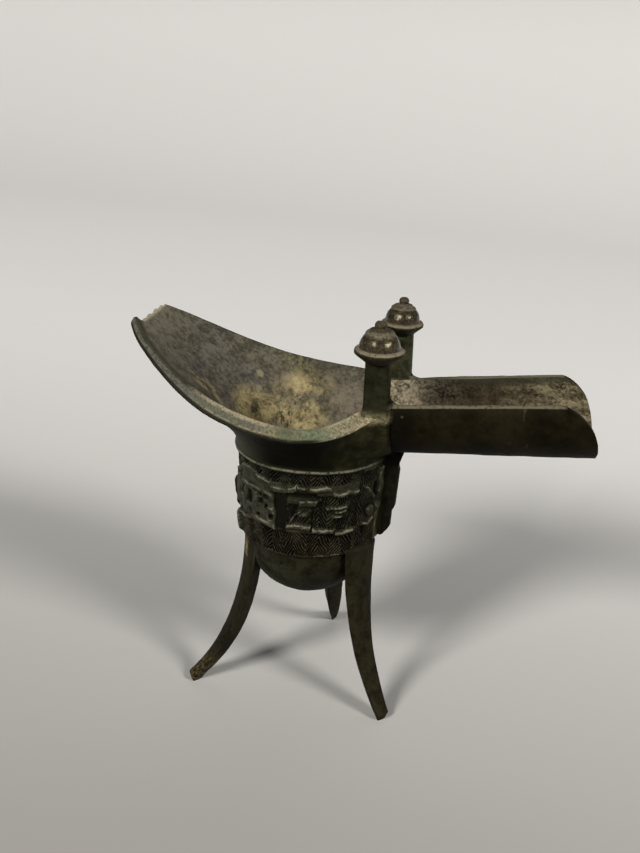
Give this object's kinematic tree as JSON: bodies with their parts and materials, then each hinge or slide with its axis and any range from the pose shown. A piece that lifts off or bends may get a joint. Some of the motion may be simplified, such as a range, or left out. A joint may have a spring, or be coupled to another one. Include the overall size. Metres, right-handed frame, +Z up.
{
  "type": "bronze jue wine cup",
  "caption": "Cast bronze jue wine cup: round bowl with a mask band on splayed blade legs, flared mouth with a broken tail, long open spout, capped posts and a strap handle.",
  "frame": {"origin": "on the floor under the centre of the cup's bounding box", "axes": "+X from the tail to the spout, +Y from the plain side to the handle, +Z up"},
  "size_m": [0.179, 0.0882, 0.1606],
  "materials": {
    "bronze": "dark green-brown patinated cast bronze, worn paler on raised edges"
  },
  "bodies": {
    "root": {"jue_cup": "bronze"}
  },
  "joints": []
}
